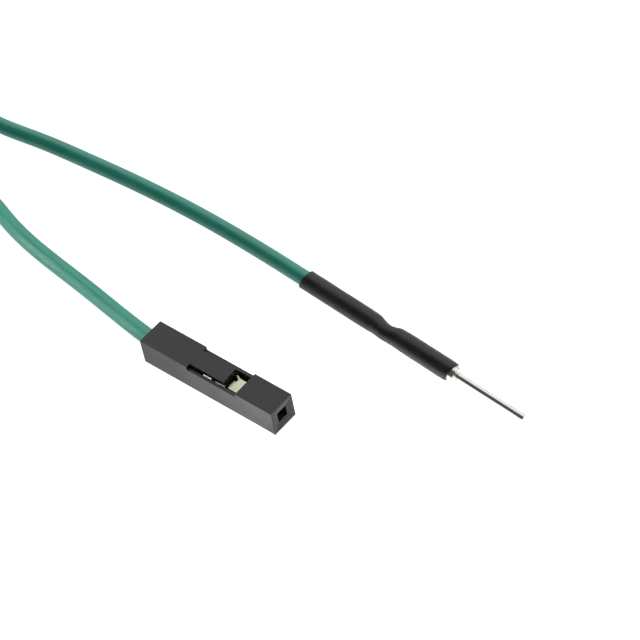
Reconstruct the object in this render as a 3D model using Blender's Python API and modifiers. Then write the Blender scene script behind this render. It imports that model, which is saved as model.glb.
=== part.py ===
"""Breadboard jumper wire: a single-way square socket on one end and a round pin in a shrunk sleeve on the other.

Millimetres in the constants, metres in the scene, +Z up. The origin is the middle of the socket housing's flat
underside. +X points out of the socket's mouth, and everything lies on the plane z = 0.
"""

import math

import bmesh
import bpy
import numpy as np
from mathutils import Matrix, Vector

MM = 0.001

# Socket housing: the standard 2.54 mm single-way size
PITCH = 2.54
HOUSING_LENGTH = 14.0
REAR, FRONT = -HOUSING_LENGTH / 2, HOUSING_LENGTH / 2
CAVITY = 1.95  # square, open at the rear
CAVITY_END = 6.30  # x of the inner side of the front wall
PIN_HOLE = 1.05  # square
LEAD_IN = 2.20  # square mouth of the pyramid in front of the hole
LEAD_IN_DEPTH = 0.12
LATCH_ROOT, WINDOW_FRONT = -1.95, 3.20  # x of both ends of the lowered side walls
LATCH_END = 1.58  # x of the latch tongue's free end
LATCH_WIDTH = 1.66
LATCH_HOOK_Z = 1.63  # underside of the hook at the free end
SIDE_WALL_TOP = PITCH - 0.35  # beside the tongue and the window
MOUTH_CHAMFER = 0.12
EDGE = 0.035  # broken edges of the moulding

# Socket terminal: one folded strip
SHEET = 0.20
BOX_REAR, BOX_FRONT = 1.86, 6.20
BOX_HALF_WIDTH = 0.80  # to the middle of the sheet
BOX_FLOOR, BOX_ROOF = 0.435, 1.835  # z of the middle of the sheet
CONDUCTOR_CRIMP = (-1.60, 0.02)
INSULATION_CRIMP = (-4.40, -2.70)
CONDUCTOR_Z = 1.05  # axis of the strands in their crimp
WIRE_Z = 1.235  # axis of the wire in its crimp

# Wire: stranded, seven strands of 0.16 mm drawn 0.15 mm so that they stay apart
WIRE_DIAMETER = 1.38
BORE_DIAMETER = 0.60
STRAND_DIAMETER = 0.15
STRAND_CIRCLE = 0.17  # radius on which the six outer strands lie
STRAND_LAY = 25.0  # length of one turn of the twist
CONDUCTOR_START = 0.15  # x of the strands' end in the socket terminal
INSULATION_START = -2.55  # x of the insulation's end in the socket terminal
TUBE_STEP = 2.45  # spacing of the stations along the wire

# Sleeve and pin: both on one straight axis, measured as s from the sleeve's rear rim
SLEEVE_REAR = (-0.98, 12.295)  # x, y of the rim's centre
SLEEVE_TURN = -4.60  # degrees from +X
SLEEVE_LENGTH = 16.60
SLEEVE_BORE = 0.71  # radius over the wire
INSULATION_END_S = 7.95
BARREL_S = (10.50, 17.01)
BARREL_RADIUS = 0.70
BARREL_BORE = 0.33
BARREL_BORE_DEPTH = 4.10
CONDUCTOR_END_S = 14.00
SQUEEZE_S = 13.60  # middle of the dents in the barrel
PIN_RADIUS = 0.32
PIN_TIP_S = 24.12
WAIST_S = 9.30
WAIST_SHIFT = 0.158  # the waist lies nearer the socket's side of the axis
WAIST_REACH = 0.85

# Plan of the free wire, from the insulation crimp to the sleeve: the run beside the socket, the turn, the run back
ROUTE = (
    (-4.40, 0.00),
    (-7.00, 0.09),
    (-9.65, 0.41),
    (-12.20, 0.84),
    (-15.60, 1.46),
    (-19.10, 2.02),
    (-22.50, 2.53),
    (-25.10, 3.05),
    (-27.30, 3.66),
    (-29.60, 4.38),
    (-32.90, 4.70),
    (-36.40, 3.75),
    (-40.00, 2.00),
    (-43.60, 0.30),
    (-47.40, -0.80),
    (-51.30, -0.55),
    (-54.50, 1.60),
    (-55.85, 5.30),
    (-54.60, 9.00),
    (-51.50, 11.40),
    (-47.60, 12.20),
    (-43.70, 12.10),
    (-39.70, 11.75),
    (-35.75, 11.67),
    (-31.40, 12.18),
    (-26.40, 12.60),
    (-21.50, 12.90),
    (-16.70, 13.05),
    (-13.00, 13.05),
    (-9.40, 12.94),
    (-5.80, 12.71),
    (-3.40, 12.50),
    SLEEVE_REAR,
)
SOCKET_RAMP = (3.60, 16.60)  # where the wire comes down to the surface, from the route's start
SLEEVE_RAMP = 8.50  # where it rises into the sleeve, from the route's end


# ---------------------------------------------------------------- scene


def clear_scene():
    for obj in list(bpy.data.objects):
        bpy.data.objects.remove(obj, do_unlink=True)
    for mesh in list(bpy.data.meshes):
        bpy.data.meshes.remove(mesh)


def new_collection(name):
    found = bpy.data.collections.new(name)
    bpy.context.scene.collection.children.link(found)
    return found


clear_scene()
PARTS = new_collection("jumper_wire")
CUTTERS = new_collection("cutters")


def material(name, colour, roughness, metallic=0.0):
    made = bpy.data.materials.new(name)
    made.use_nodes = True
    shader = made.node_tree.nodes["Principled BSDF"]
    shader.inputs["Base Color"].default_value = (*colour, 1.0)
    shader.inputs["Roughness"].default_value = roughness
    shader.inputs["Metallic"].default_value = metallic
    made.diffuse_color = (*colour, 1.0)
    return made


def add_part(name, mesh, finish, smooth=False):
    mesh.name = name
    obj = bpy.data.objects.new(name, mesh)
    obj.data.materials.append(finish)
    PARTS.objects.link(obj)
    if smooth:
        mesh.shade_smooth()
        mesh.set_sharp_from_angle(angle=math.radians(35))
    return obj


def add_cutter(name, mesh):
    obj = bpy.data.objects.new(name, mesh)
    obj.hide_render = True
    obj.display_type = "WIRE"
    CUTTERS.objects.link(obj)
    return obj


def boolean(obj, other, operation):
    modifier = obj.modifiers.new(other.name, "BOOLEAN")
    modifier.operation = operation
    modifier.object = other
    modifier.solver = "EXACT"


def mesh_from(bm, name):
    bmesh.ops.recalc_face_normals(bm, faces=bm.faces)
    mesh = bpy.data.meshes.new(name)
    bm.to_mesh(mesh)
    bm.free()
    return mesh


def evaluated_mesh(obj):
    """The object's mesh with its modifiers, or its bevelled curve, welded."""
    graph = bpy.context.evaluated_depsgraph_get()
    mesh = bpy.data.meshes.new_from_object(obj.evaluated_get(graph), depsgraph=graph)
    bm = bmesh.new()
    bm.from_mesh(mesh)
    bmesh.ops.remove_doubles(bm, verts=bm.verts, dist=1e-7)
    bm.to_mesh(mesh)
    bm.free()
    return mesh


# ---------------------------------------------------------------- shapes


def block(name, x, y, z):
    """A box between two limits along each axis."""
    low, high = (Vector(side) * MM for side in zip(x, y, z))
    bm = bmesh.new()
    place = Matrix.Translation((low + high) / 2) @ Matrix.Diagonal((*(high - low), 1))
    bmesh.ops.create_cube(bm, size=1.0, matrix=place)
    return mesh_from(bm, name)


def pyramid(name, x0, side0, x1, side1, z):
    """A square frustum along X, from side0 at x0 to side1 at x1, centred on height z."""
    bm = bmesh.new()
    turn = Matrix.Rotation(math.radians(90), 4, "Y") @ Matrix.Rotation(math.radians(45), 4, "Z")
    place = Matrix.Translation(Vector(((x0 + x1) / 2, 0, z)) * MM) @ turn
    bmesh.ops.create_cone(
        bm,
        cap_ends=True,
        segments=4,
        radius1=side0 / math.sqrt(2) * MM,
        radius2=side1 / math.sqrt(2) * MM,
        depth=(x1 - x0) * MM,
        matrix=place,
    )
    return mesh_from(bm, name)


def prism(name, outline, half_width):
    """An outline in X and Z, extruded to both sides of y = 0."""
    bm = bmesh.new()
    face = bm.faces.new([bm.verts.new(Vector((x, -half_width, z)) * MM) for x, z in outline])
    pulled = bmesh.ops.extrude_face_region(bm, geom=[face])
    moved = [item for item in pulled["geom"] if isinstance(item, bmesh.types.BMVert)]
    bmesh.ops.translate(bm, verts=moved, vec=Vector((0, 2 * half_width, 0)) * MM)
    return mesh_from(bm, name)


def slab(name, outline, z):
    """An outline in X and Y, extruded between two heights."""
    bm = bmesh.new()
    face = bm.faces.new([bm.verts.new(Vector((x, y, z[0])) * MM) for x, y in outline])
    pulled = bmesh.ops.extrude_face_region(bm, geom=[face])
    moved = [item for item in pulled["geom"] if isinstance(item, bmesh.types.BMVert)]
    bmesh.ops.translate(bm, verts=moved, vec=Vector((0, 0, z[1] - z[0])) * MM)
    return mesh_from(bm, name)


def folded_sheet(name, stations, thickness=SHEET):
    """Sheet metal: one open section at each x, lofted and given its thickness with Solidify."""
    bm = bmesh.new()
    rows = [[bm.verts.new(Vector((x, y, z)) * MM) for y, z in section] for x, section in stations]
    for first, second in zip(rows, rows[1:]):
        for i in range(len(first) - 1):
            bm.faces.new((first[i], first[i + 1], second[i + 1], second[i]))
    obj = bpy.data.objects.new(name, mesh_from(bm, name))
    CUTTERS.objects.link(obj)
    solid = obj.modifiers.new("sheet", "SOLIDIFY")
    solid.thickness = thickness * MM
    solid.offset = 0.0
    solid.use_even_offset = True
    solid.use_quality_normals = True
    mesh = evaluated_mesh(obj)
    bpy.data.objects.remove(obj)
    return mesh


def turned(name, profile, steps):
    """A (radius, height) profile turned about Z with Screw, top to bottom down its outer side."""
    mesh = bpy.data.meshes.new(name)
    closed = profile[0][0] > 0
    edges = [(i, i + 1) for i in range(len(profile) - 1)] + ([(len(profile) - 1, 0)] if closed else [])
    mesh.from_pydata([(r * MM, 0, h * MM) for r, h in profile], edges, [])
    obj = bpy.data.objects.new(name, mesh)
    CUTTERS.objects.link(obj)
    screw = obj.modifiers.new("turn", "SCREW")
    screw.steps = screw.render_steps = steps
    screw.use_merge_vertices = True
    screw.merge_threshold = 1e-6
    made = evaluated_mesh(obj)
    bpy.data.objects.remove(obj)
    return made


def tube(name, points, radius, capped):
    """A round tube along points, as a bevelled POLY curve."""
    curve = bpy.data.curves.new(name, "CURVE")
    curve.dimensions = "3D"
    spline = curve.splines.new("POLY")
    spline.points.add(len(points) - 1)
    for place, point in zip(spline.points, points):
        place.co = (*(Vector(point) * MM), 1.0)
    curve.bevel_depth = radius * MM
    curve.bevel_resolution = 2 if radius > 0.2 else 1
    curve.use_fill_caps = capped
    return bpy.data.objects.new(name, curve)


# ---------------------------------------------------------------- route of the wire


def smooth(t):
    t = min(max(t, 0.0), 1.0)
    return t * t * (3 - 2 * t)


def clamped_spline(points, start, end, samples=40):
    """A cubic spline with continuous curvature through points, leaving along start and arriving along end."""
    points = np.array(points, float)
    knots = np.concatenate([[0], np.cumsum(np.linalg.norm(np.diff(points, axis=0), axis=1))])
    gap = np.diff(knots)
    slope = np.diff(points, axis=0) / gap[:, None]
    count = len(points)
    matrix, right = np.zeros((count, count)), np.zeros((count, 2))
    matrix[0, 0] = matrix[-1, -1] = 1
    right[0], right[-1] = start, end
    for i in range(1, count - 1):
        matrix[i, i - 1 : i + 2] = gap[i], 2 * (gap[i - 1] + gap[i]), gap[i - 1]
        right[i] = 3 * (gap[i] * slope[i - 1] + gap[i - 1] * slope[i])
    tangent = np.linalg.solve(matrix, right)
    found = [points[0]]
    for i in range(count - 1):
        for k in range(1, samples + 1):
            t = k / samples
            found.append(
                (1 + 2 * t) * (1 - t) ** 2 * points[i]
                + t * (1 - t) ** 2 * gap[i] * tangent[i]
                + t * t * (3 - 2 * t) * points[i + 1]
                - t * t * (1 - t) * gap[i] * tangent[i + 1]
            )
    return np.array(found)


def lengths(points):
    return np.concatenate([[0], np.cumsum(np.linalg.norm(np.diff(points, axis=0), axis=1))])


SLEEVE_AXIS = np.array([math.cos(math.radians(SLEEVE_TURN)), math.sin(math.radians(SLEEVE_TURN)), 0.0])
SLEEVE_RIM, SLEEVE_BULGE = 0.870, 0.882  # outer radii that rest on the surface
BULGE_S = 12.2
SLEEVE_AXIS = SLEEVE_AXIS + [0, 0, (SLEEVE_BULGE - SLEEVE_RIM) / BULGE_S]
SLEEVE_AXIS /= np.linalg.norm(SLEEVE_AXIS)
SLEEVE_ORIGIN = np.array([*SLEEVE_REAR, SLEEVE_RIM + 0.002])


def on_sleeve(s):
    return SLEEVE_ORIGIN + s * SLEEVE_AXIS


def wire_path():
    """Closely spaced points from the strands' end in the socket terminal to their end in the pin's barrel."""
    inside = [
        (x, 0.0, CONDUCTOR_Z + (WIRE_Z - CONDUCTOR_Z) * smooth((CONDUCTOR_CRIMP[0] - x) / 1.0))
        for x in np.linspace(CONDUCTOR_START, ROUTE[0][0], 60)[:-1]
    ]
    plan = clamped_spline(ROUTE, (-1, 0), SLEEVE_AXIS[:2])
    along = lengths(plan)
    low = WIRE_DIAMETER / 2 + 0.002
    free = []
    for (x, y), s in zip(plan, along):
        down = smooth((s - SOCKET_RAMP[0]) / (SOCKET_RAMP[1] - SOCKET_RAMP[0]))
        up = smooth(1 - (along[-1] - s) / SLEEVE_RAMP)
        free.append((x, y, low + (WIRE_Z - low) * (1 - down) + (SLEEVE_ORIGIN[2] - low) * up))
    sleeve = [on_sleeve(s) for s in np.linspace(0, CONDUCTOR_END_S, 60)[1:]]
    return np.concatenate([inside, free, sleeve])


PATH = wire_path()
ALONG = lengths(PATH)


def at(s):
    return np.array([np.interp(s, ALONG, PATH[:, k]) for k in range(3)])


START_S = (CONDUCTOR_START - INSULATION_START) + 0.012
END_S = ALONG[-1] - (CONDUCTOR_END_S - INSULATION_END_S)
STRIPPED = [0.0, 0.85, 1.75, 2.05, 2.40]
TUBE = list(np.linspace(START_S, END_S, round((END_S - START_S) / TUBE_STEP) + 1))
TAIL = list(np.linspace(END_S, ALONG[-1], 4)[1:])
STATIONS = STRIPPED + TUBE + TAIL
CENTRES = [at(s) for s in STATIONS]


def frames(points):
    """A tangent and two normals at each point, turned as little as possible from one to the next."""
    steps = [b - a for a, b in zip(points, points[1:])]
    steps = [v / np.linalg.norm(v) for v in steps]
    tangents = [steps[0]] + [a + b for a, b in zip(steps, steps[1:])] + [steps[-1]]
    normal = np.array([0.0, 0.0, 1.0])
    found = []
    for tangent in tangents:
        tangent = tangent / np.linalg.norm(tangent)
        normal = normal - tangent * normal.dot(tangent)
        normal = normal / np.linalg.norm(normal)
        found.append((tangent, normal, np.cross(tangent, normal)))
    return found


# ---------------------------------------------------------------- socket housing

black = material("housing_black", (0.045, 0.046, 0.045), 0.45)
half = PITCH / 2
low_z, high_z = half - CAVITY / 2, half + CAVITY / 2

housing = add_part("socket_housing", block("socket_housing", (REAR, FRONT), (-half, half), (0, PITCH)), black)
cuts = (
    ("cavity", "DIFFERENCE", block("cavity", (REAR - 1, CAVITY_END), (-CAVITY / 2, CAVITY / 2), (low_z, high_z))),
    (
        "mouth",
        "DIFFERENCE",
        pyramid("mouth", REAR - 0.2, CAVITY + 2 * (MOUTH_CHAMFER + 0.2), REAR + 0.5, CAVITY + 2 * (MOUTH_CHAMFER - 0.5), half),
    ),
    (
        "latch",
        "DIFFERENCE",
        slab(
            "latch",
            (
                (LATCH_ROOT, -half - 1),
                (LATCH_ROOT, -LATCH_WIDTH / 2),
                (LATCH_END, -LATCH_WIDTH / 2),
                (LATCH_END, LATCH_WIDTH / 2),
                (LATCH_ROOT, LATCH_WIDTH / 2),
                (LATCH_ROOT, half + 1),
                (WINDOW_FRONT, half + 1),
                (WINDOW_FRONT, -half - 1),
            ),
            (SIDE_WALL_TOP, PITCH + 1),
        ),
    ),
    (
        "latch_hook",
        "UNION",
        prism(
            "latch_hook",
            (
                (-0.75, high_z + 0.12),
                (-0.75, high_z - 0.06),
                (LATCH_END - 0.45, LATCH_HOOK_Z),
                (LATCH_END - 0.09, LATCH_HOOK_Z),
                (LATCH_END - 0.09, high_z + 0.12),
            ),
            LATCH_WIDTH / 2 - 0.10,
        ),
    ),
    (
        "lead_in",
        "DIFFERENCE",
        pyramid(
            "lead_in",
            FRONT - 1.5 * LEAD_IN_DEPTH,
            1.5 * PIN_HOLE - 0.5 * LEAD_IN,
            FRONT + LEAD_IN_DEPTH,
            2 * LEAD_IN - PIN_HOLE,
            half,
        ),
    ),
    (
        "pin_hole",
        "DIFFERENCE",
        block(
            "pin_hole",
            (CAVITY_END - 0.5, FRONT - 0.3 * LEAD_IN_DEPTH),
            (-PIN_HOLE / 2, PIN_HOLE / 2),
            (half - PIN_HOLE / 2, half + PIN_HOLE / 2),
        ),
    ),
)
for cut_name, operation, mesh in cuts:
    boolean(housing, add_cutter("cut_" + cut_name, mesh), operation)
bevel = housing.modifiers.new("edges", "BEVEL")
bevel.width = EDGE * MM
bevel.segments = 1
bevel.limit_method = "ANGLE"
bevel.angle_limit = math.radians(40)
bevel.use_clamp_overlap = True

# ---------------------------------------------------------------- socket terminal

gold = material("terminal_gold", (0.83, 0.78, 0.56), 0.28, 1.0)
tin = material("strand_tin", (0.72, 0.70, 0.66), 0.35, 1.0)

w, corner = BOX_HALF_WIDTH, 0.11
box_section = [
    (w, BOX_ROOF - 0.36),
    (w, 1.30),
    (w, 0.85),
    (w, BOX_FLOOR + corner),
    (w - corner, BOX_FLOOR),
    (0.0, BOX_FLOOR),
    (-w + corner, BOX_FLOOR),
    (-w, BOX_FLOOR + corner),
    (-w, 0.85),
    (-w, 1.30),
    (-w, BOX_ROOF - corner),
    (-w + corner, BOX_ROOF),
    (0.0, BOX_ROOF),
    (w - 0.25, BOX_ROOF),
]


def channel(floor, half_width, top):
    """A U section with rounded lower corners."""
    side = [(half_width, top), (half_width, (top + floor + corner) / 2), (half_width, floor + corner)]
    right = side + [(half_width - corner, floor), (0.3 * half_width, floor)]
    return right + [(-y, z) for y, z in reversed(right)]


def wrapped(centre_z, radius, opening, steps=8):
    """Two wings bent round a circle, with a gap of the opening angle on top."""
    turn = 360 - opening
    angles = [math.radians(90 - opening / 2 - turn * i / (2 * steps)) for i in range(2 * steps + 1)]
    return [(radius * math.cos(a), centre_z + radius * math.sin(a)) for a in angles]


def rolled(centre_z):
    """The two wings of the conductor crimp, rolled in from above."""
    right = [
        (0.125, 0.37),
        (0.13, 0.47),
        (0.23, 0.55),
        (0.36, 0.46),
        (0.42, 0.22),
        (0.41, -0.05),
        (0.29, -0.29),
        (0.09, -0.38),
    ]
    return [(y, centre_z + z) for y, z in right] + [(-y, centre_z + z) for y, z in reversed(right)]


def leaf(name, heights, half_width):
    """A contact spring inside the box: a narrow strip along X."""
    return folded_sheet(
        name,
        [(x, [(half_width, z), (0.0, z), (-half_width, z)]) for x, z in heights],
        0.14,
    )


def wing(name, side):
    """A side wall of the transition that reaches up beside the latch tongue: its top slopes outwards, with a gap in it."""
    top = [(-0.60, 2.03), (0.30, 2.09), (0.42, 1.90), (0.57, 1.88), (0.69, 2.04), (1.70, 2.06)]
    foot = [(1.70, 1.30), (0.86, 1.20), (0.45, 1.62), (-0.60, 1.80)]
    bm = bmesh.new()
    rows = []
    for y, drop in ((0.77, 0.0), (0.93, 0.063)):
        outline = [(x, z - drop) for x, z in top] + foot
        rows.append([bm.verts.new(Vector((x, side * y, z)) * MM) for x, z in outline])
    bm.faces.new(rows[0])
    bm.faces.new(rows[1])
    for i in range(len(rows[0])):
        k = (i + 1) % len(rows[0])
        bm.faces.new((rows[0][i], rows[0][k], rows[1][k], rows[1][i]))
    return mesh_from(bm, name)


c0, c1 = CONDUCTOR_CRIMP
i0, i1 = INSULATION_CRIMP
terminal = add_part(
    "socket_terminal",
    folded_sheet("socket_terminal", [(BOX_REAR, box_section), (BOX_FRONT, box_section)]),
    gold,
)
pieces = (
    (
        "transition",
        folded_sheet(
            "transition",
            [
                (c1 - 0.10, channel(0.67, 0.47, 1.02)),
                (0.22, channel(0.64, 0.56, 1.50)),
                (0.55, channel(0.56, 0.67, 1.42)),
                (0.90, channel(0.46, 0.76, 1.30)),
                (1.30, channel(0.445, 0.785, 1.55)),
                (2.06, channel(0.445, 0.785, 1.62)),
            ],
        ),
    ),
    ("conductor_crimp", folded_sheet("conductor_crimp", [(c0, rolled(CONDUCTOR_Z)), (c1, rolled(CONDUCTOR_Z))])),
    (
        "link",
        folded_sheet(
            "link",
            [
                (i1 - 0.12, [(0.40, 0.55), (0.20, 0.47), (-0.20, 0.47), (-0.40, 0.55)]),
                (i1 + 0.40, [(0.42, 0.66), (0.20, 0.57), (-0.20, 0.57), (-0.42, 0.66)]),
                (c0 + 0.10, [(0.36, 0.80), (0.18, 0.67), (-0.18, 0.67), (-0.36, 0.80)]),
            ],
        ),
    ),
    (
        "insulation_crimp",
        folded_sheet(
            "insulation_crimp",
            [(i0, wrapped(WIRE_Z, WIRE_DIAMETER / 2 + 0.12, 12)), (i1, wrapped(WIRE_Z, WIRE_DIAMETER / 2 + 0.12, 12))],
        ),
    ),
    ("near_wing", wing("near_wing", -1)),
    (
        "finger",
        folded_sheet(
            "finger",
            [
                (1.60, [(0.76, BOX_ROOF), (0.68, BOX_ROOF)]),
                (1.78, [(0.74, BOX_ROOF), (0.57, BOX_ROOF)]),
                (2.00, [(0.60, BOX_ROOF), (0.43, BOX_ROOF)]),
                (2.30, [(0.50, BOX_ROOF), (0.30, BOX_ROOF)]),
            ],
            0.15,
        ),
    ),
    ("far_wing", wing("far_wing", 1)),
    ("lower_leaf", leaf("lower_leaf", [(5.95, 0.50), (5.40, 0.62), (4.40, 0.88), (3.90, 0.90), (3.20, 0.74), (2.90, 0.70)], 0.42)),
    ("upper_leaf", leaf("upper_leaf", [(5.95, 1.77), (5.40, 1.70), (4.40, 1.63), (3.90, 1.62), (3.20, 1.64), (2.90, 1.66)], 0.42)),
)
notch = block("roof_notch", (BOX_REAR - 0.2, 2.08), (0.13, 0.45), (BOX_ROOF - 0.2, BOX_ROOF + 0.2))
boolean(terminal, add_cutter("cut_roof_notch", notch), "DIFFERENCE")
for piece_name, mesh in pieces:
    boolean(terminal, add_cutter("fold_" + piece_name, mesh), "UNION")

# ---------------------------------------------------------------- wire

green = material("insulation_green", (0.035, 0.25, 0.18), 0.4)

first = len(STRIPPED)
tube_points = CENTRES[first : first + len(TUBE)]
outer = tube("wire_insulation", tube_points, WIRE_DIAMETER / 2, capped=False)
CUTTERS.objects.link(outer)
insulation = add_part("wire_insulation", evaluated_mesh(outer), green, smooth=True)
bpy.data.objects.remove(outer)
insulation.name = "wire_insulation"
wall = insulation.modifiers.new("wall", "SOLIDIFY")
wall.thickness = (WIRE_DIAMETER - BORE_DIAMETER) / 2 * MM
wall.offset = -1.0

for number in range(7):
    radius = STRAND_CIRCLE if number else 0.0
    points = []
    for centre, (_, normal, side), s in zip(CENTRES, frames(CENTRES), STATIONS):
        angle = 2 * math.pi * (s / STRAND_LAY + number / 6)
        points.append(centre + radius * (math.cos(angle) * normal + math.sin(angle) * side))
    strand = tube(f"strand_{number}", points, STRAND_DIAMETER / 2, capped=True)
    strand.data.materials.append(tin)
    PARTS.objects.link(strand)

# ---------------------------------------------------------------- pin terminal and sleeve

silver = material("pin_silver", (0.80, 0.80, 0.79), 0.16, 1.0)
sleeve_black = material("sleeve_black", (0.022, 0.021, 0.020), 0.42)

axis = Vector(SLEEVE_AXIS)
PLACE = Matrix.Translation(Vector(SLEEVE_ORIGIN) * MM) @ axis.to_track_quat("Z", "Y").to_matrix().to_4x4()

b0, b1 = BARREL_S
pin_profile = [
    (0.0, PIN_TIP_S),
    (PIN_RADIUS - 0.05, PIN_TIP_S),
    (PIN_RADIUS, PIN_TIP_S - 0.05),
    (PIN_RADIUS, b1 + 0.03),
    (PIN_RADIUS + 0.02, b1),
    (BARREL_RADIUS - 0.05, b1),
    (BARREL_RADIUS, b1 - 0.05),
    (BARREL_RADIUS, SQUEEZE_S + 1.20),
    (BARREL_RADIUS - 0.05, SQUEEZE_S + 0.60),
    (BARREL_RADIUS - 0.05, SQUEEZE_S),
    (BARREL_RADIUS - 0.05, SQUEEZE_S - 0.60),
    (BARREL_RADIUS, SQUEEZE_S - 1.20),
    (BARREL_RADIUS, b0 + 0.08),
    (BARREL_RADIUS - 0.06, b0),
    (BARREL_BORE + 0.10, b0),
    (BARREL_BORE, b0 + 0.12),
    (BARREL_BORE, b0 + BARREL_BORE_DEPTH - 0.12),
    (0.0, b0 + BARREL_BORE_DEPTH),
]
pin_mesh = turned("pin_terminal", pin_profile, 20)
for vertex in pin_mesh.vertices:  # four dents where the barrel is squeezed on the strands
    reach = math.hypot(vertex.co.x, vertex.co.y) / MM
    middle = (vertex.co.z / MM - SQUEEZE_S) / 0.75
    if reach > 0.5:
        dent = 0.10 * math.exp(-middle * middle) * (0.5 + 0.5 * math.cos(4 * math.atan2(vertex.co.y, vertex.co.x)))
        vertex.co.x *= 1 - dent / reach
        vertex.co.y *= 1 - dent / reach
pin_mesh.transform(PLACE)
pin = add_part("pin_terminal", pin_mesh, silver, smooth=True)

outer_profile = [
    (SLEEVE_RIM, 0.0),
    (SLEEVE_RIM - 0.004, 0.25),
    (0.864, 0.8),
    (0.864, 3.0),
    (0.864, 5.4),
    (0.860, 7.0),
    (0.838, 8.0),
    (0.752, 8.72),
    (0.708, 9.30),
    (0.745, 9.90),
    (0.846, 10.45),
    (0.862, 11.1),
    (SLEEVE_BULGE, 12.2),
    (SLEEVE_BULGE, 14.0),
    (SLEEVE_BULGE, 15.7),
    (SLEEVE_BULGE - 0.016, 16.2),
    (0.848, 16.46),
    (0.805, SLEEVE_LENGTH),
]
inner_profile = [
    (SLEEVE_BORE, 0.0),
    (SLEEVE_BORE, 4.0),
    (SLEEVE_BORE, INSULATION_END_S + 0.03),
    (0.590, 8.60),
    (0.555, 9.30),
    (0.590, 9.85),
    (BARREL_RADIUS + 0.015, 10.45),
    (BARREL_RADIUS + 0.015, 13.0),
    (BARREL_RADIUS + 0.015, SLEEVE_LENGTH),
]
sleeve_mesh = turned("heat_shrink_sleeve", list(reversed(outer_profile)) + inner_profile, 16)
sleeve_mesh.transform(PLACE)
across = Vector((math.sin(math.radians(SLEEVE_TURN)), -math.cos(math.radians(SLEEVE_TURN)), 0.0))
for vertex in sleeve_mesh.vertices:
    s = (vertex.co / MM - Vector(SLEEVE_ORIGIN)).dot(axis)
    if INSULATION_END_S + 0.2 < s < BARREL_S[0] - 0.1:
        vertex.co += across * WAIST_SHIFT * MM * math.exp(-(((s - WAIST_S) / WAIST_REACH) ** 2))
sleeve = add_part("heat_shrink_sleeve", sleeve_mesh, sleeve_black, smooth=True)
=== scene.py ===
import math

import bmesh
import bpy
import numpy as np
from mathutils import Matrix, Vector


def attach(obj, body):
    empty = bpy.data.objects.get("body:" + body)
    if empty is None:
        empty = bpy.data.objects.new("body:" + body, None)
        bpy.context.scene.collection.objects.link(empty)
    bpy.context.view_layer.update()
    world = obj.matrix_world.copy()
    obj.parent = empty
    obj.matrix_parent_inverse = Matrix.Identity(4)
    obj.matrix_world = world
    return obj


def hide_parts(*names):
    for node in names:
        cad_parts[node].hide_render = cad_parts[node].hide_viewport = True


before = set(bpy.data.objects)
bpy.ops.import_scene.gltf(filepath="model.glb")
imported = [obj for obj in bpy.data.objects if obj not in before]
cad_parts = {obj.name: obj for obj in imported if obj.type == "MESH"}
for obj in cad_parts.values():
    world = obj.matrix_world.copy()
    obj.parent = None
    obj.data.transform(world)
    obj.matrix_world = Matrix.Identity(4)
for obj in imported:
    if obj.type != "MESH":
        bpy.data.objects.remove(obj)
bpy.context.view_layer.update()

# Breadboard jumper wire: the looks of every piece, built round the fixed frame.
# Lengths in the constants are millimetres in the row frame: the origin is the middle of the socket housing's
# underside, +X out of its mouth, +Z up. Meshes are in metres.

MM = 0.001
SCENE = bpy.context.scene

# ---------------------------------------------------------------- camera

camera = bpy.data.objects.new("camera", bpy.data.cameras.new("camera"))
SCENE.collection.objects.link(camera)
SCENE.camera = camera
camera.data.sensor_width = 36.0
camera.data.lens = 168.75
camera.data.clip_start, camera.data.clip_end = 0.01, 10.0
right, up = Vector((0.76453, 0.63040, -0.13448)), Vector((-0.41090, 0.63739, 0.65184))
turn = Matrix((right, up, right.cross(up))).transposed().to_4x4()
camera.matrix_world = Matrix.Translation((0.12384, -0.09842, 0.18262)) @ turn


# ---------------------------------------------------------------- the wire's route, as in the construction

CONDUCTOR_CRIMP, INSULATION_CRIMP = (-1.60, 0.02), (-4.40, -2.70)
CONDUCTOR_Z, WIRE_Z = 1.05, 1.235
WIRE_RADIUS, BORE_RADIUS = 0.69, 0.30
STRAND_RADIUS, STRAND_CIRCLE, STRAND_LAY = 0.075, 0.17, 25.0
CONDUCTOR_START, INSULATION_START = 0.15, -2.55
SLEEVE_REAR, SLEEVE_TURN = (-0.98, 12.295), -4.60
SLEEVE_LENGTH, SLEEVE_BORE, INSULATION_END_S = 16.60, 0.71, 7.95
CONDUCTOR_END_S = 14.00
ROUTE = (
    (-4.40, 0.00), (-7.00, 0.09), (-9.65, 0.41), (-12.20, 0.84), (-15.60, 1.46), (-19.10, 2.02),
    (-22.50, 2.53), (-25.10, 3.05), (-27.30, 3.66), (-29.60, 4.38), (-32.90, 4.70), (-36.40, 3.75),
    (-40.00, 2.00), (-43.60, 0.30), (-47.40, -0.80), (-51.30, -0.55), (-54.50, 1.60), (-55.85, 5.30),
    (-54.60, 9.00), (-51.50, 11.40), (-47.60, 12.20), (-43.70, 12.10), (-39.70, 11.75), (-35.75, 11.67),
    (-31.40, 12.18), (-26.40, 12.60), (-21.50, 12.90), (-16.70, 13.05), (-13.00, 13.05), (-9.40, 12.94),
    (-5.80, 12.71), (-3.40, 12.50), SLEEVE_REAR,
)
SOCKET_RAMP, SLEEVE_RAMP = (3.60, 16.60), 8.50


def smooth(t):
    t = min(max(t, 0.0), 1.0)
    return t * t * (3 - 2 * t)


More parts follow.
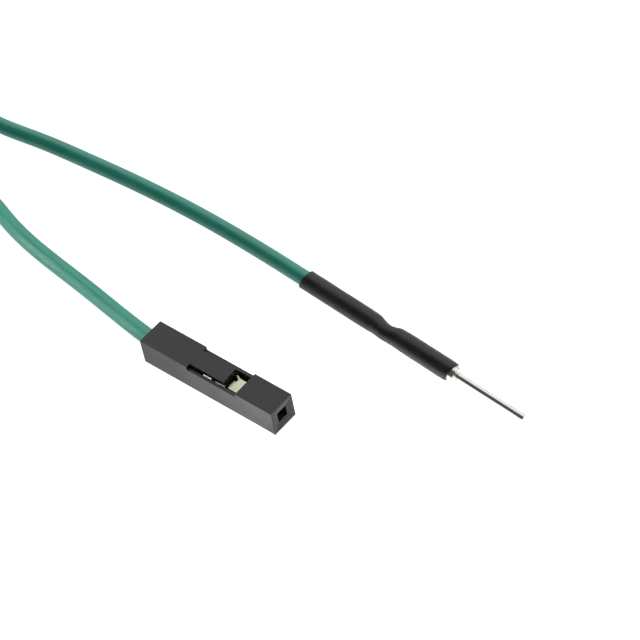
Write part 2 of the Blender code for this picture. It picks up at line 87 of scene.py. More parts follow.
def clamped_spline(points, start, end, samples=40):
    """A cubic spline with continuous curvature through points, leaving along start and arriving along end."""
    points = np.array(points, float)
    knots = np.concatenate([[0], np.cumsum(np.linalg.norm(np.diff(points, axis=0), axis=1))])
    gap = np.diff(knots)
    slope = np.diff(points, axis=0) / gap[:, None]
    count = len(points)
    matrix, known = np.zeros((count, count)), np.zeros((count, 2))
    matrix[0, 0] = matrix[-1, -1] = 1
    known[0], known[-1] = start, end
    for i in range(1, count - 1):
        matrix[i, i - 1 : i + 2] = gap[i], 2 * (gap[i - 1] + gap[i]), gap[i - 1]
        known[i] = 3 * (gap[i] * slope[i - 1] + gap[i - 1] * slope[i])
    tangent = np.linalg.solve(matrix, known)
    found = [points[0]]
    for i in range(count - 1):
        for k in range(1, samples + 1):
            t = k / samples
            found.append(
                (1 + 2 * t) * (1 - t) ** 2 * points[i]
                + t * (1 - t) ** 2 * gap[i] * tangent[i]
                + t * t * (3 - 2 * t) * points[i + 1]
                - t * t * (1 - t) * gap[i] * tangent[i + 1]
            )
    return np.array(found)


def lengths(points):
    return np.concatenate([[0], np.cumsum(np.linalg.norm(np.diff(points, axis=0), axis=1))])


SLEEVE_RIM, SLEEVE_BULGE, BULGE_S = 0.870, 0.882, 12.2
SLEEVE_AXIS = np.array([math.cos(math.radians(SLEEVE_TURN)), math.sin(math.radians(SLEEVE_TURN)), 0.0])
SLEEVE_AXIS = SLEEVE_AXIS + [0, 0, (SLEEVE_BULGE - SLEEVE_RIM) / BULGE_S]
SLEEVE_AXIS /= np.linalg.norm(SLEEVE_AXIS)
SLEEVE_ORIGIN = np.array([*SLEEVE_REAR, SLEEVE_RIM + 0.002])


def on_sleeve(s):
    return SLEEVE_ORIGIN + s * SLEEVE_AXIS


def wire_path():
    inside = [
        (x, 0.0, CONDUCTOR_Z + (WIRE_Z - CONDUCTOR_Z) * smooth((CONDUCTOR_CRIMP[0] - x) / 1.0))
        for x in np.linspace(CONDUCTOR_START, ROUTE[0][0], 60)[:-1]
    ]
    plan = clamped_spline(ROUTE, (-1, 0), SLEEVE_AXIS[:2])
    along = lengths(plan)
    low = WIRE_RADIUS + 0.002
    free = []
    for (x, y), s in zip(plan, along):
        down = smooth((s - SOCKET_RAMP[0]) / (SOCKET_RAMP[1] - SOCKET_RAMP[0]))
        rise = smooth(1 - (along[-1] - s) / SLEEVE_RAMP)
        free.append((x, y, low + (WIRE_Z - low) * (1 - down) + (SLEEVE_ORIGIN[2] - low) * rise))
    sleeve = [on_sleeve(s) for s in np.linspace(0, CONDUCTOR_END_S, 60)[1:]]
    return np.concatenate([inside, free, sleeve])


PATH = wire_path()
ALONG = lengths(PATH)
START_S = (CONDUCTOR_START - INSULATION_START) + 0.012
END_S = ALONG[-1] - (CONDUCTOR_END_S - INSULATION_END_S)


def at(s):
    """The wire's centre at each distance along it, in mm."""
    return np.stack([np.interp(s, ALONG, PATH[:, k]) for k in range(3)], axis=-1)


def frames(points, first=(0.0, 0.0, 1.0)):
    """A tangent and two normals at each point, turned as little as possible from one to the next."""
    steps = np.diff(points, axis=0)
    steps /= np.linalg.norm(steps, axis=1)[:, None]
    tangents = np.concatenate([steps[:1], steps[:-1] + steps[1:], steps[-1:]])
    tangents /= np.linalg.norm(tangents, axis=1)[:, None]
    normal, normals = np.array(first), []
    for tangent in tangents:
        normal = normal - tangent * normal.dot(tangent)
        normal /= np.linalg.norm(normal)
        normals.append(normal)
    normals = np.array(normals)
    return tangents, normals, np.cross(tangents, normals)


def waves(x, seed, shortest, longest, count=7):
    """A smooth irregular curve between about -1 and 1: sine waves of mixed lengths with set phases."""
    chance = np.random.default_rng(seed)
    sizes = np.geomspace(shortest, longest, count)
    phase = chance.uniform(0, 2 * math.pi, count)
    weight = chance.uniform(0.6, 1.0, count)
    found = sum(w * np.sin(2 * math.pi * x / size + p) for w, size, p in zip(weight, sizes, phase))
    return found / math.sqrt(float((weight**2).sum()) * 2)


# ---------------------------------------------------------------- meshes


def put(name, mesh, finish, node, angle=35.0):
    """A fine piece that stands for a node of the frame."""
    mesh.name = name
    obj = bpy.data.objects.new(name, mesh)
    SCENE.collection.objects.link(obj)
    mesh.materials.clear()
    mesh.materials.append(finish)
    if angle is None:
        mesh.shade_smooth()
    else:
        mesh.shade_smooth()
        mesh.set_sharp_from_angle(angle=math.radians(angle))
    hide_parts(node)
    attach(obj, "root")
    return obj


def ring_mesh(name, rings, spaces, closed_ends):
    """Quads between rings of points. rings is (rings, sides, 3) in mm, and spaces is the same shape: where each point is
    in the unrolled piece, which the finishes read as the attribute piece_space."""
    rings, spaces = np.asarray(rings, float), np.asarray(spaces, float)
    count, sides = rings.shape[:2]
    first = np.arange(count * sides).reshape(count, sides)
    after = np.roll(first, -1, axis=1)
    pairs = [(i, i + 1) for i in range(count - 1)] + ([(count - 1, 0)] if not closed_ends else [])
    faces = [
        quad for a, b in pairs for quad in zip(first[a].tolist(), after[a].tolist(), after[b].tolist(), first[b].tolist())
    ]
    points, where = rings.reshape(-1, 3), spaces.reshape(-1, 3)
    if closed_ends:
        ends = []
        for row, back in ((0, True), (count - 1, False)):
            index = len(points)
            points = np.concatenate([points, rings[row].mean(0)[None]])
            where = np.concatenate([where, spaces[row].mean(0)[None]])
            for a, b in zip(first[row].tolist(), after[row].tolist()):
                ends.append((index, b, a) if back else (index, a, b))
        faces += ends
    mesh = bpy.data.meshes.new(name)
    mesh.from_pydata((points * MM).tolist(), [], faces)
    held = mesh.attributes.new("piece_space", "FLOAT_VECTOR", "POINT")
    held.data.foreach_set("vector", where.astype(np.float32).ravel())
    bm = bmesh.new()
    bm.from_mesh(mesh)
    bmesh.ops.recalc_face_normals(bm, faces=bm.faces)
    bm.to_mesh(mesh)
    bm.free()
    mesh.validate()
    return mesh


def along_line(centres, radii, sides, start_angle=0.0, s=None):
    """Rings of a tube: radii is one radius for each centre, or a function of (index, angles) that gives one for each side."""
    _, normals, across = frames(centres)
    angles = start_angle + np.arange(sides) * 2 * math.pi / sides
    s = lengths(centres) if s is None else s
    reach = np.array([radii(i, angles) if callable(radii) else np.full(sides, radii[i]) for i in range(len(centres))])
    spoke = np.cos(angles)[None, :, None] * normals[:, None] + np.sin(angles)[None, :, None] * across[:, None]
    rings = centres[:, None] + reach[:, :, None] * spoke
    spaces = np.stack(
        [reach * np.cos(angles), reach * np.sin(angles), np.broadcast_to(s[:, None], reach.shape)], axis=-1
    )
    return rings, spaces


# ---------------------------------------------------------------- finishes


class Finish:
    """A node material round one Principled shader. What is the same all over is set on the shader's own sockets."""

    def __init__(self, name, roughness, metallic=0.0, **sockets):
        self.material = bpy.data.materials.new(name)
        self.material.use_nodes = True
        self.nodes, self.links = self.material.node_tree.nodes, self.material.node_tree.links
        self.shader = self.nodes["Principled BSDF"]
        self.shader.inputs["Roughness"].default_value = roughness
        self.shader.inputs["Metallic"].default_value = metallic
        for socket, value in sockets.items():
            self.shader.inputs[socket.replace("_", " ")].default_value = value

    def node(self, kind, **settings):
        made = self.nodes.new(kind)
        for key, value in settings.items():
            setattr(made, key, value)
        return made

    def space(self, stretch=(1, 1, 1), attribute=None):
        """Coordinates in millimetres: the row frame's, or the unrolled piece's."""
        scale = self.node("ShaderNodeVectorMath", operation="MULTIPLY")
        if attribute:
            source = self.node("ShaderNodeAttribute", attribute_name=attribute).outputs["Vector"]
            scale.inputs[1].default_value = stretch
        else:
            source = self.node("ShaderNodeTexCoord").outputs["Object"]
            scale.inputs[1].default_value = [1000 * k for k in stretch]
        self.links.new(source, scale.inputs[0])
        return scale.outputs["Vector"]

    def noise(self, space, size, detail=3.0, rough=0.55, distortion=0.0):
        """Noise from 0 to 1 with blobs of that size in the space's own units."""
        made = self.node("ShaderNodeTexNoise")
        made.inputs["Scale"].default_value = 1.0 / size
        made.inputs["Detail"].default_value = detail
        made.inputs["Roughness"].default_value = rough
        made.inputs["Distortion"].default_value = distortion
        self.links.new(space, made.inputs["Vector"])
        return made.outputs["Fac"]

    def spread(self, value, low, high, to_low, to_high, soft=True):
        made = self.node("ShaderNodeMapRange", interpolation_type="SMOOTHSTEP" if soft else "LINEAR")
        for socket, number in zip(("From Min", "From Max", "To Min", "To Max"), (low, high, to_low, to_high)):
            made.inputs[socket].default_value = number
        self.links.new(value, made.inputs["Value"])
        return made.outputs["Result"]

    def maths(self, operation, first, second):
        made = self.node("ShaderNodeMath", operation=operation)
        for socket, item in zip(made.inputs, (first, second)):
            if isinstance(item, (int, float)):
                socket.default_value = item
            else:
                self.links.new(item, socket)
        return made.outputs["Value"]

    def blend(self, factor, first, second):
        made = self.node("ShaderNodeMix", data_type="RGBA")
        for socket, item in ((made.inputs[0], factor), (made.inputs[6], first), (made.inputs[7], second)):
            if isinstance(item, (int, float)):
                socket.default_value = item
            elif isinstance(item, tuple):
                socket.default_value = (*item, 1.0)
            else:
                self.links.new(item, socket)
        return made.outputs[2]

    def colour(self, value):
        self.links.new(value, self.shader.inputs["Base Color"])

    def roughness(self, value):
        self.links.new(value, self.shader.inputs["Roughness"])

    def bump(self, *heights):
        """Each height is (value from 0 to 1, its depth in millimetres)."""
        below = None
        for value, depth in heights:
            made = self.node("ShaderNodeBump")
            made.inputs["Strength"].default_value = 1.0
            made.inputs["Distance"].default_value = depth * MM
            self.links.new(value, made.inputs["Height"])
            if below is not None:
                self.links.new(below, made.inputs["Normal"])
            below = made.outputs["Normal"]
        self.links.new(below, self.shader.inputs["Normal"])


def housing_finish():
    f = Finish("housing_black", 0.42, IOR=1.485)
    space = f.space()
    flow = f.noise(f.space((0.35, 1, 1)), 1.6, 2.0)
    grain = f.noise(space, 0.060, 3.0, 0.6)
    scuff = f.noise(f.space((0.25, 1, 1)), 0.35, 4.0, 0.65, 0.6)
    tone = f.blend(f.spread(flow, 0.3, 0.7, 0.0, 1.0), (0.0100, 0.0108, 0.0102), (0.0145, 0.0152, 0.0143))
    f.colour(f.blend(f.spread(scuff, 0.62, 0.80, 0.0, 0.5), tone, (0.030, 0.031, 0.030)))
    f.roughness(f.maths("ADD", f.spread(flow, 0.25, 0.75, 0.37, 0.47), f.spread(scuff, 0.55, 0.8, 0.0, 0.08)))
    f.bump((flow, 0.0060), (grain, 0.0022))
    return f.material


def insulation_finish():
    f = Finish("insulation_green", 0.36, IOR=1.60)
    lengthwise = f.space((1, 1, 0.05), "piece_space")
    along = f.space((1, 1, 0.4), "piece_space")
    drawn = f.noise(lengthwise, 0.16, 3.0, 0.6)
    cloud = f.noise(along, 1.3, 2.0)
    speck = f.noise(f.space((1, 1, 1), "piece_space"), 0.10, 2.0, 0.5)
    body = f.blend(f.spread(cloud, 0.3, 0.7, 0.0, 1.0), (0.0125, 0.262, 0.180), (0.0165, 0.306, 0.214))
    f.colour(f.blend(f.spread(drawn, 0.35, 0.75, 0.0, 0.35), body, (0.020, 0.335, 0.240)))
    f.roughness(f.maths("ADD", f.spread(cloud, 0.3, 0.7, 0.30, 0.38), f.spread(speck, 0.5, 0.75, 0.0, 0.07)))
    f.bump((cloud, 0.0100), (drawn, 0.0008), (speck, 0.0010))
    return f.material


def sleeve_finish():
    f = Finish("sleeve_black", 0.42, IOR=1.44)
    skin = f.noise(f.space((1, 1, 0.35), "piece_space"), 0.22, 3.0, 0.6)
    pucker = f.noise(f.space((1, 1, 0.9), "piece_space"), 0.9, 2.0, 0.5)
    grain = f.noise(f.space((1, 1, 1), "piece_space"), 0.05, 2.0)
    tone = f.blend(f.spread(pucker, 0.3, 0.7, 0.0, 1.0), (0.0120, 0.0135, 0.0105), (0.0175, 0.0190, 0.0155))
    f.colour(f.blend(f.spread(skin, 0.55, 0.8, 0.0, 0.4), tone, (0.026, 0.026, 0.024)))
    f.roughness(f.maths("ADD", f.spread(pucker, 0.3, 0.7, 0.36, 0.46), f.spread(skin, 0.5, 0.8, 0.0, 0.06)))
    f.bump((pucker, 0.0120), (skin, 0.0050), (grain, 0.0010))
    return f.material


def metal_finish(name, low, high, roughness, size, turned=None):
    """Plated metal: clouded tone, fine draw or turning lines, and spots where the plating is duller."""
    f = Finish(name, roughness, 1.0)
    if turned:
        lines = f.noise(f.space((0.15, 0.15, 1.0), "piece_space"), turned, 3.0, 0.6)
        cloud = f.noise(f.space((1, 1, 0.5), "piece_space"), size, 3.0)
    else:
        lines = f.noise(f.space((0.12, 1, 1)), 0.05, 3.0, 0.6)
        cloud = f.noise(f.space(), size, 3.0)
    f.colour(f.blend(f.spread(cloud, 0.3, 0.7, 0.0, 1.0), low, high))
    f.roughness(
        f.maths("ADD", f.spread(cloud, 0.35, 0.75, roughness - 0.03, roughness + 0.07), f.spread(lines, 0.4, 0.8, 0.0, 0.05))
    )
    f.bump((cloud, 0.0015), (lines, 0.0010))
    return f.material


def pin_finish():
    """Bright turned metal: the slim pin is polished, the thick barrel and its collar are left duller."""
    f = Finish("pin_silver", 0.18, 1.0)
    reach = f.node("ShaderNodeVectorMath", operation="LENGTH")
    f.links.new(f.space((1, 1, 0), "piece_space"), reach.inputs[0])
    thick = f.spread(reach.outputs["Value"], 0.36, 0.60, 0.0, 1.0)
    lines = f.noise(f.space((0.15, 0.15, 1.0), "piece_space"), 0.035, 3.0, 0.6)
    cloud = f.noise(f.space((1, 1, 0.5), "piece_space"), 0.5, 3.0)
    polished = f.blend(f.spread(cloud, 0.3, 0.7, 0.0, 1.0), (0.62, 0.623, 0.590), (0.70, 0.703, 0.665))
    f.colour(f.blend(thick, polished, (0.62, 0.625, 0.59)))
    f.roughness(f.maths("ADD", f.spread(cloud, 0.35, 0.75, 0.15, 0.21), f.maths("MULTIPLY", thick, 0.02)))
    f.bump((cloud, 0.0012), (lines, 0.0008))
    return f.material


BLACK, GREEN, SLEEVE = housing_finish(), insulation_finish(), sleeve_finish()
GOLD = metal_finish("terminal_gold", (0.43, 0.435, 0.325), (0.54, 0.545, 0.42), 0.27, 0.35)
TIN = metal_finish("strand_tin", (0.62, 0.60, 0.56), (0.76, 0.74, 0.70), 0.30, 0.3, turned=0.4)
SILVER = pin_finish()

# ---------------------------------------------------------------- the wire: insulation and strands

STEP = 0.35
stations = np.linspace(START_S, END_S, round((END_S - START_S) / STEP) + 1)
stations = np.concatenate([[START_S, START_S + 0.015, START_S + 0.05], stations[1:-1], [END_S - 0.05, END_S - 0.015, END_S]])
centres = at(stations)
SIDES = 32
swell = 0.0045 * waves(stations, 11, 2.1, 23.0)
# Coiled wire is never quite round: a slow oval, widest across the run beside the socket.
oval = np.interp(stations, [0, 8, 22, 34, 60, 88, 104, 118, 130], [0.030, 0.042, 0.046, 0.050, 0.040, 0.014, 0.008, 0.004, 0.0])
oval = oval + 0.004 * waves(stations, 12, 9.0, 60.0, 4)
lean = np.interp(stations, [0, 45, 85], [1.035, 1.035, 2.10]) + 0.18 * waves(stations, 13, 15.0, 80.0, 4)
clear = np.array([smooth(abs(x + 3.55) / 1.6) if abs(y) < 1.0 and x > -5.2 else 1.0 for x, y, _ in centres])
clear *= np.clip((END_S - stations - 9.0) / 1.5, 0.0, 1.0)
edge = np.minimum(stations - START_S, END_S - stations)
trim = 0.012 * (1 - np.clip(edge / 0.05, 0, 1)) ** 2


def insulation_radius(i, angles):
    shape = swell[i] + oval[i] * np.cos(2 * (angles - lean[i]))
    return WIRE_RADIUS * (1 + clear[i] * shape) - trim[i]


outer, outer_space = along_line(centres, insulation_radius, SIDES, s=stations)
inner_at = np.concatenate([stations[:1], stations[3:-3:2], stations[-1:]])
inner, inner_space = along_line(at(inner_at), np.full(len(inner_at), BORE_RADIUS), SIDES, s=inner_at)
rings = np.concatenate([outer, inner[::-1]])
spaces = np.concatenate([outer_space, inner_space[::-1]])
insulation = put("insulation_tube", ring_mesh("insulation_tube", rings, spaces, False), GREEN, "wire_insulation", 50.0)

strand_at = np.linspace(0.0, ALONG[-1], round(ALONG[-1] / 0.55) + 1)
for number in range(7):
    line = at(strand_at)
    _, normals, across = frames(line)
    angle = (2 * math.pi * (strand_at / STRAND_LAY + number / 6))[:, None]
    if number:
        line = line + STRAND_CIRCLE * (np.cos(angle) * normals + np.sin(angle) * across)
    cut = np.concatenate([[0.012], np.zeros(len(line) - 2), [0.012]])
    tube, tube_space = along_line(line, STRAND_RADIUS - cut, 10, s=strand_at)
    piece = put(f"strand_{number}_wire", ring_mesh(f"strand_{number}_wire", tube, tube_space, True), TIN, f"strand_{number}", 50.0)

# ---------------------------------------------------------------- pin and shrunk sleeve

AXIS = Vector(SLEEVE_AXIS)
PLACE = np.array(Matrix.Translation(Vector(SLEEVE_ORIGIN)) @ AXIS.to_track_quat("Z", "Y").to_matrix().to_4x4())
BARREL_S, BARREL_RADIUS, BARREL_BORE, BARREL_BORE_DEPTH = (10.50, 17.01), 0.70, 0.33, 4.10
SQUEEZE_S, PIN_RADIUS, PIN_TIP_S = 13.60, 0.32, 24.12
WAIST_S, WAIST_SHIFT, WAIST_REACH = 9.30, 0.158, 0.85


def rounded(profile, radius, steps=4):
    """A (radius, height) profile with each corner replaced by a short arc."""
    points = [np.array(p, float) for p in profile]
    found = [points[0]]
    for before, corner, after in zip(points, points[1:], points[2:]):
        back, painted_light_toward_mouth = before - corner, after - corner
        cut = min(radius, 0.45 * np.linalg.norm(back), 0.45 * np.linalg.norm(painted_light_toward_mouth))
        a = corner + back / np.linalg.norm(back) * cut
        b = corner + painted_light_toward_mouth / np.linalg.norm(painted_light_toward_mouth) * cut
        for k in range(steps + 1):
            t = k / steps
            found.append((1 - t) ** 2 * a + 2 * t * (1 - t) * corner + t * t * b)
    found.append(points[-1])
    return np.array(found)


def lengthened(profile, step):
    """The profile again, with long straight stretches divided."""
    found = [profile[0]]
    for a, b in zip(profile, profile[1:]):
        pieces = max(1, math.ceil(np.linalg.norm(b - a) / step))
        found += [a + (b - a) * k / pieces for k in range(1, pieces + 1)]
    return np.array(found)


def turned_rings(profile, sides):
    angles = np.arange(sides) * 2 * math.pi / sides
    r, h = profile[:, 0][:, None], profile[:, 1][:, None]
    local = np.stack([r * np.cos(angles), r * np.sin(angles), np.broadcast_to(h, (len(profile), sides))], axis=-1)
    return local, angles


def placed(local):
    return local @ PLACE[:3, :3].T + PLACE[:3, 3]


b0, b1 = BARREL_S
pin_profile = [
    (0.02, PIN_TIP_S), (PIN_RADIUS - 0.045, PIN_TIP_S), (PIN_RADIUS, PIN_TIP_S - 0.055),
    (PIN_RADIUS, b1 + 0.05), (PIN_RADIUS + 0.03, b1), (BARREL_RADIUS - 0.05, b1), (BARREL_RADIUS, b1 - 0.05),
    (BARREL_RADIUS, b0 + 0.08), (BARREL_RADIUS - 0.06, b0),
    (BARREL_BORE + 0.10, b0), (BARREL_BORE, b0 + 0.12), (BARREL_BORE, b0 + BARREL_BORE_DEPTH - 0.12),
    (0.02, b0 + BARREL_BORE_DEPTH),
]
local, angles = turned_rings(lengthened(rounded(pin_profile, 0.035, 3), 0.28), 48)
reach = np.hypot(local[..., 0], local[..., 1])
middle = (local[..., 2] - SQUEEZE_S) / 0.95
on_barrel = (reach > 0.5) & (local[..., 2] < b1 - 0.5)
dent = np.where(on_barrel, (0.05 + 0.075 * (0.5 + 0.5 * np.cos(4 * angles))[None]) * np.exp(-(middle**4)), 0.0)
local[..., :2] *= (1 - dent / np.maximum(reach, 1e-6))[..., None]
pin = put("round_pin", ring_mesh("round_pin", placed(local), local, True), SILVER, "pin_terminal", 40.0)

outer_profile = [
    (SLEEVE_RIM - 0.006, 0.0), (SLEEVE_RIM, 0.05), (SLEEVE_RIM - 0.004, 0.3), (0.864, 0.8), (0.864, 3.0), (0.864, 5.4),
    (0.860, 7.0), (0.840, 7.95), (0.756, 8.66), (0.710, 9.30), (0.745, 9.86), (0.844, 10.42), (0.864, 11.1),
    (SLEEVE_BULGE, 12.2), (SLEEVE_BULGE, 14.0), (SLEEVE_BULGE, 15.7), (SLEEVE_BULGE - 0.010, 16.20), (0.852, 16.45),
    (0.825, 16.57), (0.800, SLEEVE_LENGTH),
]
inner_profile = [
    (BARREL_RADIUS + 0.018, SLEEVE_LENGTH), (BARREL_RADIUS + 0.015, SLEEVE_LENGTH - 0.1), (BARREL_RADIUS + 0.015, 13.0),
    (BARREL_RADIUS + 0.015, 10.45), (0.600, 9.85), (0.565, 9.30), (0.600, 8.60), (SLEEVE_BORE, INSULATION_END_S + 0.03),
    (SLEEVE_BORE, 4.0), (SLEEVE_BORE, 0.04), (SLEEVE_BORE + 0.02, 0.0),
]
profile = np.concatenate(
    [lengthened(rounded(outer_profile, 0.35, 4), 0.16), lengthened(rounded(inner_profile, 0.15, 3), 0.5)]
)
SLEEVE_SIDES = 56
local, angles = turned_rings(profile, SLEEVE_SIDES)
height = local[..., 2]
outside = (np.arange(len(profile)) < len(lengthened(rounded(outer_profile, 0.35, 4), 0.16)))[:, None]
# The plastic shrinks unevenly: a slow swell, shallow flats round the axis, and puckers where it dives into the waist.
near_waist = np.exp(-(((height - 9.10) / 1.15) ** 2))
uneven = (
    0.006 * waves(height, 31, 0.9, 7.0)
    + 0.005 * np.cos(3 * angles[None] + 1.2 * waves(height, 32, 3.0, 17.0, 4))
    + near_waist * 0.008 * np.cos(5 * angles[None] + 0.9 + 0.6 * np.sin(height * 1.7))
)
rims = np.clip(np.minimum(height, SLEEVE_LENGTH - height) / 0.8, 0.0, 1.0)
reach = np.hypot(local[..., 0], local[..., 1])
moved = np.where(outside, uneven * rims - 0.006 * rims, 0.0)
local[..., :2] *= (1 + moved / reach)[..., None]
# The rims were cut by hand, a little off square.
level = np.array([-math.sin(math.radians(SLEEVE_TURN)), math.cos(math.radians(SLEEVE_TURN)), 0.0])
crown = np.cos(angles[None] - math.atan2(*((0.879 * np.array([0, 0, 1]) - 0.477 * level) @ PLACE[:3, :3])[1::-1]))
flank = np.cos(angles[None] - math.atan2(*((0.477 * np.array([0, 0, 1]) + 0.879 * level) @ PLACE[:3, :3])[1::-1]))
slant = (0.24 * crown + 0.14 * flank + 0.09) * np.exp(-np.minimum(height, 4.0) / 0.9) * (height < 4.0)
slant = slant + (0.15 * crown + 0.13 * flank - 0.21) * np.exp(-(SLEEVE_LENGTH - height) / 0.9) * (height > 10.5)
space = local.copy()
local[..., 2] += slant
rings = placed(local)
across = np.array([math.sin(math.radians(SLEEVE_TURN)), -math.cos(math.radians(SLEEVE_TURN)), 0.0])
shift = WAIST_SHIFT * np.exp(-(((height - WAIST_S) / WAIST_REACH) ** 2))
shift *= np.clip((height - INSULATION_END_S - 0.1) / 0.3, 0, 1) * np.clip((BARREL_S[0] - 0.1 - height) / 0.3, 0, 1)
rings = rings + shift[..., None] * across
rings[..., 2] = np.maximum(rings[..., 2], 0.001)
sleeve = put("shrunk_sleeve", ring_mesh("shrunk_sleeve", rings, space, False), SLEEVE, "heat_shrink_sleeve", 40.0)

# ---------------------------------------------------------------- socket: housing and terminal

for name, finish in (("socket_housing", BLACK), ("socket_terminal", GOLD)):
    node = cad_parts[name]
    node.data.materials.clear()
    node.data.materials.append(finish)

# ---------------------------------------------------------------- floor and light

floor = bpy.data.objects.new("floor", bpy.data.meshes.new("floor"))
bm = bmesh.new()
bmesh.ops.create_grid(bm, x_segments=1, y_segments=1, size=3.0)
bm.to_mesh(floor.data)
bm.free()
floor.location.z = -0.00002
SCENE.collection.objects.link(floor)
# White paper that glows, so that the camera sees it white and clear of shadows. To other rays its glow is lower between
# the two runs: a painted shadow.
paper = bpy.data.materials.new("paper")
paper.use_nodes = True
sheet, join = paper.node_tree.nodes, paper.node_tree.links
shader = sheet["Principled BSDF"]
shader.inputs["Base Color"].default_value = (0.55, 0.55, 0.55, 1.0)
shader.inputs["Roughness"].default_value = 0.9
shader.inputs["Specular IOR Level"].default_value = 0.0
shader.inputs["Emission Color"].default_value = (1.0, 1.0, 1.0, 1.0)
place = sheet.new("ShaderNodeSeparateXYZ")
join.new(sheet.new("ShaderNodeTexCoord").outputs["Object"], place.inputs[0])
painted_shade_mask = None
for axis, start, stop in (("Y", 0.0015, 0.0045), ("X", 0.011, 0.002)):
    fade = sheet.new("ShaderNodeMapRange")
    fade.interpolation_type = "SMOOTHSTEP"
    fade.inputs["From Min"].default_value, fade.inputs["From Max"].default_value = min(start, stop), max(start, stop)
    fade.inputs["To Min"].default_value, fade.inputs["To Max"].default_value = (0, 1) if start < stop else (1, 0)
    join.new(place.outputs[axis], fade.inputs["Value"])
    if painted_shade_mask is None:
        painted_shade_mask = fade.outputs["Result"]
    else:
        both = sheet.new("ShaderNodeMath")
        both.operation = "MULTIPLY"
        join.new(painted_shade_mask, both.inputs[0])
        join.new(fade.outputs["Result"], both.inputs[1])
        painted_shade_mask = both.outputs[0]
# Painted shadow: the glow drops from 1.22 to 0.80 between the runs and behind them.
glow = sheet.new("ShaderNodeMath")
glow.operation = "MULTIPLY_ADD"
join.new(painted_shade_mask, glow.inputs[0])
glow.inputs[1].default_value, glow.inputs[2].default_value = -0.42, 1.22
# Painted light: the glow rises towards the mouth, along +X.
painted_light_toward_mouth = sheet.new("ShaderNodeMapRange")
for socket, number in zip(("From Min", "From Max", "To Min", "To Max"), (-0.010, 0.008, -0.24, 0.20)):
    painted_light_toward_mouth.inputs[socket].default_value = number
join.new(place.outputs["X"], painted_light_toward_mouth.inputs["Value"])
total = sheet.new("ShaderNodeMath")
total.operation = "ADD"
join.new(glow.outputs[0], total.inputs[0])
join.new(painted_light_toward_mouth.outputs["Result"], total.inputs[1])
# Beside the socket the glow that other rays see is raised towards the mouth and lowered again in front of it: painted
# light and painted shade.
beside = sheet.new("ShaderNodeMapRange")
for socket, number in zip(("From Min", "From Max", "To Min", "To Max"), (0.0015, 0.0045, 1.0, 0.0)):
    beside.inputs[socket].default_value = number
join.new(place.outputs["Y"], beside.inputs["Value"])
for start, stop, low, high in ((-0.0085, 0.0060, -0.21, 0.50), (0.0058, 0.0074, 0.0, -1.05)):
    painted_change = sheet.new("ShaderNodeMapRange")
    for socket, number in zip(("From Min", "From Max", "To Min", "To Max"), (start, stop, low, high)):
        painted_change.inputs[socket].default_value = number
    join.new(place.outputs["X"], painted_change.inputs["Value"])
    part = sheet.new("ShaderNodeMath")
    part.operation = "MULTIPLY_ADD"
    join.new(painted_change.outputs["Result"], part.inputs[0])
    join.new(beside.outputs["Result"], part.inputs[1])
    join.new(total.outputs[0], part.inputs[2])
    total = part
# Camera rays see a glow of at least 1, so the painted light and shade show only in reflections and in the light the
# paper gives.
clear_white = sheet.new("ShaderNodeMath")
clear_white.operation = "MAXIMUM"
join.new(total.outputs[0], clear_white.inputs[0])
join.new(sheet.new("ShaderNodeLightPath").outputs["Is Camera Ray"], clear_white.inputs[1])
join.new(clear_white.outputs[0], shader.inputs["Emission Strength"])
floor.data.materials.append(paper)

world = bpy.data.worlds.new("studio")
SCENE.world = world
world.use_nodes = True
tree = world.node_tree
tree.nodes.clear()


def world_node(kind, **settings):
    made = tree.nodes.new(kind)
    for key, value in settings.items():
        setattr(made, key, value)
    return made


def world_range(value, low, high, to_low, to_high):
    made = world_node("ShaderNodeMapRange", interpolation_type="SMOOTHSTEP")
    for socket, number in zip(("From Min", "From Max", "To Min", "To Max"), (low, high, to_low, to_high)):
        made.inputs[socket].default_value = number
    tree.links.new(value, made.inputs["Value"])
    return made.outputs["Result"]


# A large soft tent over and behind the object, open and dark on the near side.
direction = world_node("ShaderNodeTexCoord").outputs["Generated"]
split = world_node("ShaderNodeSeparateXYZ")
tree.links.new(direction, split.inputs[0])
tent = world_range(split.outputs["Y"], -0.08, 0.26, 0.0, 1.0)
top = world_range(split.outputs["Z"], 0.03, 0.50, 0.30, 1.0)
shape = world_node("ShaderNodeMath", operation="MULTIPLY")
tree.links.new(tent, shape.inputs[0])
tree.links.new(top, shape.inputs[1])
level = world_node("ShaderNodeMath", operation="MULTIPLY_ADD")
tree.links.new(shape.outputs[0], level.inputs[0])
level.inputs[1].default_value = 1.50
level.inputs[2].default_value = 0.135
tent_light = world_node("ShaderNodeBackground")
tree.links.new(level.outputs[0], tent_light.inputs["Strength"])
pale = world_node("ShaderNodeBackground")
pale.inputs["Strength"].default_value = 1.0
seen = world_node("ShaderNodeLightPath")
mixed = world_node("ShaderNodeMixShader")
tree.links.new(seen.outputs["Is Camera Ray"], mixed.inputs[0])
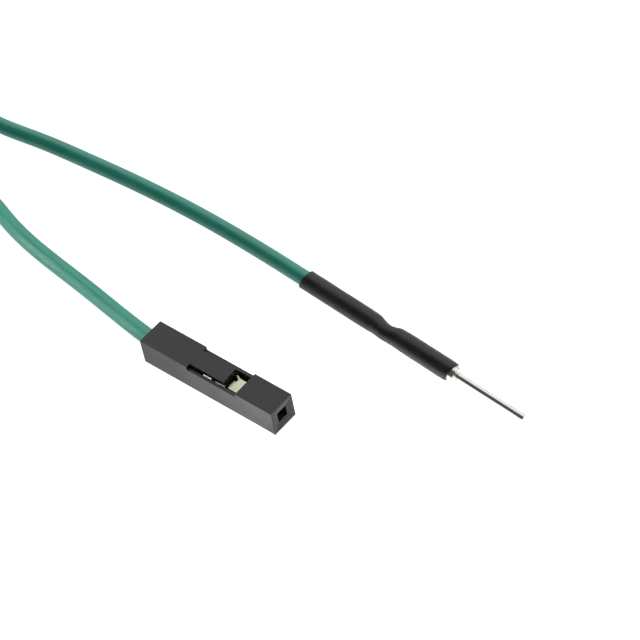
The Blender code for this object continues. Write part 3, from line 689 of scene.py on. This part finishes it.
tree.links.new(tent_light.outputs[0], mixed.inputs[1])
tree.links.new(pale.outputs[0], mixed.inputs[2])
tree.links.new(mixed.outputs[0], world_node("ShaderNodeOutputWorld").inputs["Surface"])

# Gridded strips close to the run beside the socket: one from straight across, and weak ones round it that give
# the run its broad pale band.
run_a, run_b = Vector((-34.0, 4.75, 0.7)) * MM, Vector((-7.5, 0.2, 1.0)) * MM
RUN = (run_b - run_a).normalized()
LEVEL = Vector((0, 0, 1)).cross(RUN).normalized()


def strip(name, angle, tilt, energy, reach=0.030, width=0.003, centre=None, span=0.028, tint=(0.88, 1.0, 0.98)):
    """A strip light that shines across the run: angle is its height round the run from the far side over the top, and
    tilt is how far it stands towards the wire's turn."""
    toward = (LEVEL * math.cos(math.radians(angle)) + Vector((0, 0, 1)) * math.sin(math.radians(angle))).normalized()
    toward = (toward * math.cos(math.radians(tilt)) - RUN * math.sin(math.radians(tilt))).normalized()
    beam = bpy.data.lights.new(name, "AREA")
    beam.shape = "RECTANGLE"
    beam.size, beam.size_y = span, width
    beam.spread = math.radians(9.0)
    beam.energy = energy
    beam.color = tint
    box = bpy.data.objects.new(name, beam)
    SCENE.collection.objects.link(box)
    along = (RUN - toward * RUN.dot(toward)).normalized()
    turned = Matrix((along, toward.cross(along), toward)).transposed().to_4x4()
    box.matrix_world = Matrix.Translation((centre or (run_a + run_b) / 2) + toward * reach) @ turned
    box.visible_camera = False


strip("run_fill", 118.0, 0.0, 0.00003)
BANDS = ((106, 8), (114, 12), (122, 18), (130, 24), (138, 24), (146, 23), (154, 22), (162, 21), (170, 20), (178, 20))
for number, (height_angle, share) in enumerate(BANDS):
    strip(f"run_band_{number}", height_angle, 37.5, share * 0.54e-6)
strip("slot_band", 112.0, 37.5, 0.0000018, centre=Vector((0.6, -0.8, 2.0)) * MM, span=0.006, tint=(1, 1, 1))

SCENE.view_settings.view_transform = "Standard"
SCENE.view_settings.look = "None"
SCENE.view_settings.exposure = 0.0
SCENE.view_settings.gamma = 1.0
